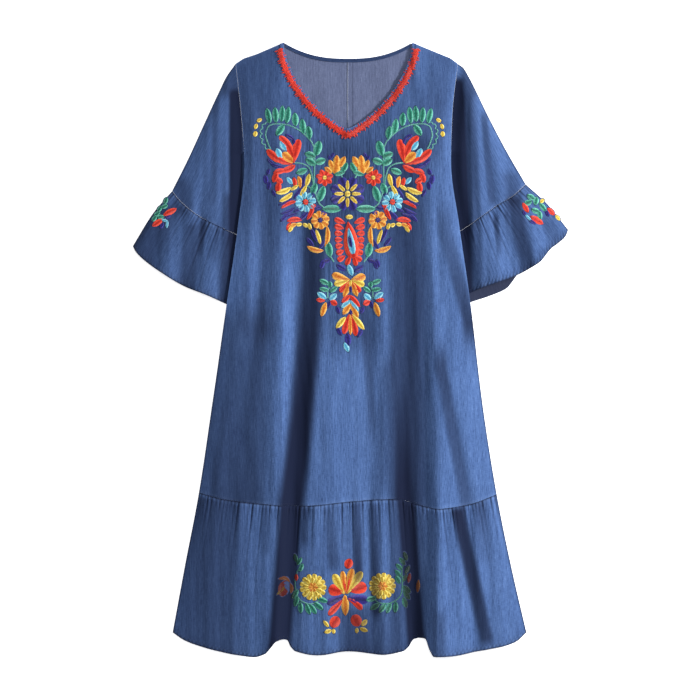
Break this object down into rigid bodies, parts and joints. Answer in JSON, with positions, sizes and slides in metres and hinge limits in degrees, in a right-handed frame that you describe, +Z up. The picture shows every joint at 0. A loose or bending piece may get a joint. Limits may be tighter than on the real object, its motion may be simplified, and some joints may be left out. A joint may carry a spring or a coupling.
{
  "type": "denim dress",
  "caption": "Knee-length denim dress laid flat, with a V neck, elbow sleeves with ruffles, a gathered hem tier and folk flower embroidery.",
  "frame": {"origin": "on the surface that the dress lies on, under the middle of its bounding box", "axes": "+X across the dress towards the right as seen from above, +Y from hem to neck, +Z up from the surface, out of the front"},
  "size_m": [0.698, 0.9835, 0.0228],
  "materials": {
    "denim": "soft indigo chambray, matt",
    "denim_inside": "inside of the chambray, paler and greyer",
    "denim_band": "narrow turned band of the chambray",
    "thread_red": "red embroidery thread",
    "thread_orange": "orange embroidery thread",
    "thread_yellow": "yellow embroidery thread",
    "thread_green": "teal green embroidery thread",
    "thread_blue": "light blue embroidery thread",
    "thread_violet": "violet blue embroidery thread",
    "thread_denim": "pale blue sewing thread"
  },
  "bodies": {
    "root": {"front_panel": "denim", "back_panel_left": "denim_inside", "back_panel_right": "denim_inside", "hem_tier_front": "denim", "hem_tier_back": "denim", "sleeve_left": "denim", "sleeve_right": "denim", "sleeve_ruffle_left": "denim", "sleeve_ruffle_right": "denim", "neck_band_front": "denim_band", "neck_band_back": "denim_band", "centre_back_allowance": "denim_inside"}
  },
  "joints": []
}
